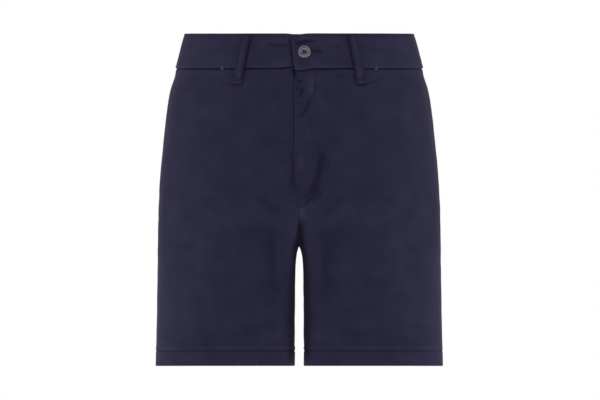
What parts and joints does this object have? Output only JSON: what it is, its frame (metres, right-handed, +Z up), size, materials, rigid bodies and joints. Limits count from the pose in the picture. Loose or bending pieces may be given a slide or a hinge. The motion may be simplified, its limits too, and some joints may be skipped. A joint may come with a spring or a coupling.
{
  "type": "bermuda shorts",
  "caption": "Tailored cotton twill bermuda shorts, filled out with no wearer: straight legs, button waistband with belt loops and a fly front.",
  "frame": {"origin": "middle of the waist ring, at half the waistband's height, where the wearer's waist holds the shorts", "axes": "+Z up, the front faces -Y, +X to the wearer's left"},
  "size_m": [0.388, 0.2598, 0.4527],
  "materials": {
    "twill": "matt navy cotton twill with a fine diagonal rib",
    "resin": "semi-gloss grey resin button"
  },
  "bodies": {
    "root": {"front_panel_left": "twill", "front_panel_right": "twill", "back_panel_left": "twill", "back_panel_right": "twill", "waistband_left": "twill", "waistband_right": "twill", "fly_shield": "twill", "belt_loop_front_left": "twill", "belt_loop_front_right": "twill", "belt_loop_side_left": "twill", "belt_loop_side_right": "twill", "belt_loop_back": "twill", "button": "resin"}
  },
  "joints": []
}
